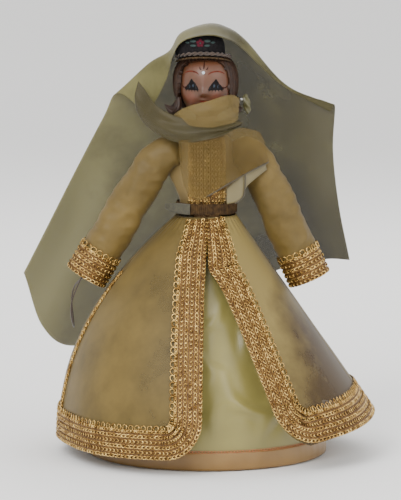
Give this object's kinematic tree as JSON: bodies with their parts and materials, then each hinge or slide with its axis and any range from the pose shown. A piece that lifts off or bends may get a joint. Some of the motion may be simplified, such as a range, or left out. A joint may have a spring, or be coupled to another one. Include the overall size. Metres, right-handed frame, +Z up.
{
  "type": "costumed puppet doll",
  "caption": "Standing costumed puppet doll with a turning head, two swinging arms, a long braided coat, a satin underskirt and a wide sheer veil.",
  "frame": {"origin": "on the floor, at the middle of the base disc's flat underside", "axes": "+Z up along the body, -Y the way the face looks, +X towards the doll's own left hand"},
  "size_m": [0.2245, 0.2025, 0.2707],
  "materials": {
    "core_wood": "raw",
    "rod_steel": "drawn wire",
    "pin_steel": "bright",
    "wadding": "soft cotton",
    "petticoat_net": "stiff net",
    "green_satin": "glossy satin",
    "gold_satin": "glossy satin",
    "orange_thread": "thread",
    "gold_organza": "crisp organza",
    "olive_organza": "sheer organza",
    "gold_braid": "metallic gimp braid",
    "brown_ribbon": "ribbed ribbon",
    "grey_ribbon": "ribbed ribbon",
    "olive_thread": "twisted thread",
    "painted_face": "glossy paint",
    "painted_hair": "glossy paint",
    "black_velvet": "velvet",
    "brown_roll": "rolled cloth",
    "cap_flower": "embroidery",
    "old_gold_chain": "twisted chain",
    "clear_stone": "faceted"
  },
  "bodies": {
    "root": {"base_disc": "core_wood", "body_post": "core_wood", "torso_block": "core_wood", "neck_dowel": "core_wood", "rod_bead_right": "core_wood", "rod_bead_left": "core_wood", "shoulder_rod": "rod_steel", "skirt_wadding": "wadding", "petticoat": "petticoat_net", "underskirt": "green_satin", "underskirt_hem": "gold_satin", "hem_stitching": "orange_thread", "bodice_front": "gold_organza", "bodice_back": "gold_organza", "bodice_braid_right": "gold_braid", "bodice_braid_left": "gold_braid", "belt": "brown_ribbon", "belt_end": "grey_ribbon", "coat_panel_right": "gold_organza", "coat_panel_left": "gold_organza", "coat_back": "gold_organza", "front_braid_right": "gold_braid", "front_braid_left": "gold_braid", "hem_braid_right": "gold_braid", "hem_braid_left": "gold_braid", "hem_braid_back": "gold_braid", "side_trim": "gold_braid", "neck_scarf": "olive_organza", "shoulder_strap": "green_satin", "veil": "olive_organza"},
    "head_group": {"head": "painted_face", "hair": "painted_hair", "cap": "black_velvet", "cap_trim": "brown_roll", "cap_embroidery": "cap_flower", "hairline_chain": "old_gold_chain", "forehead_jewel": "clear_stone", "face_veil": "olive_organza", "veil_pin": "pin_steel", "veil_twist": "olive_organza"},
    "right_arm": {"arm_right": "wadding", "sleeve_lining_right": "green_satin", "sleeve_right": "gold_organza", "cuff_braid_right": "gold_braid", "hand_string": "olive_thread"},
    "left_arm": {"arm_left": "wadding", "sleeve_lining_left": "green_satin", "sleeve_left": "gold_organza", "cuff_braid_left": "gold_braid"}
  },
  "joints": [
    {"name": "head_turn", "type": "hinge", "parent": "root", "child": "head_group", "pos_m": [0, 0, 0.2032], "axis": [0, 0, 1], "range_deg": [-50, 50], "deforming": ["veil"]},
    {"name": "right_arm_swing", "type": "hinge", "parent": "root", "child": "right_arm", "pos_m": [-0.0283, 0, 0.192], "axis": [-1, 0, 0], "range_deg": [-8, 100]},
    {"name": "left_arm_swing", "type": "hinge", "parent": "root", "child": "left_arm", "pos_m": [0.0283, 0, 0.192], "axis": [-1, 0, 0], "range_deg": [-8, 100], "deforming": ["neck_scarf"]}
  ]
}
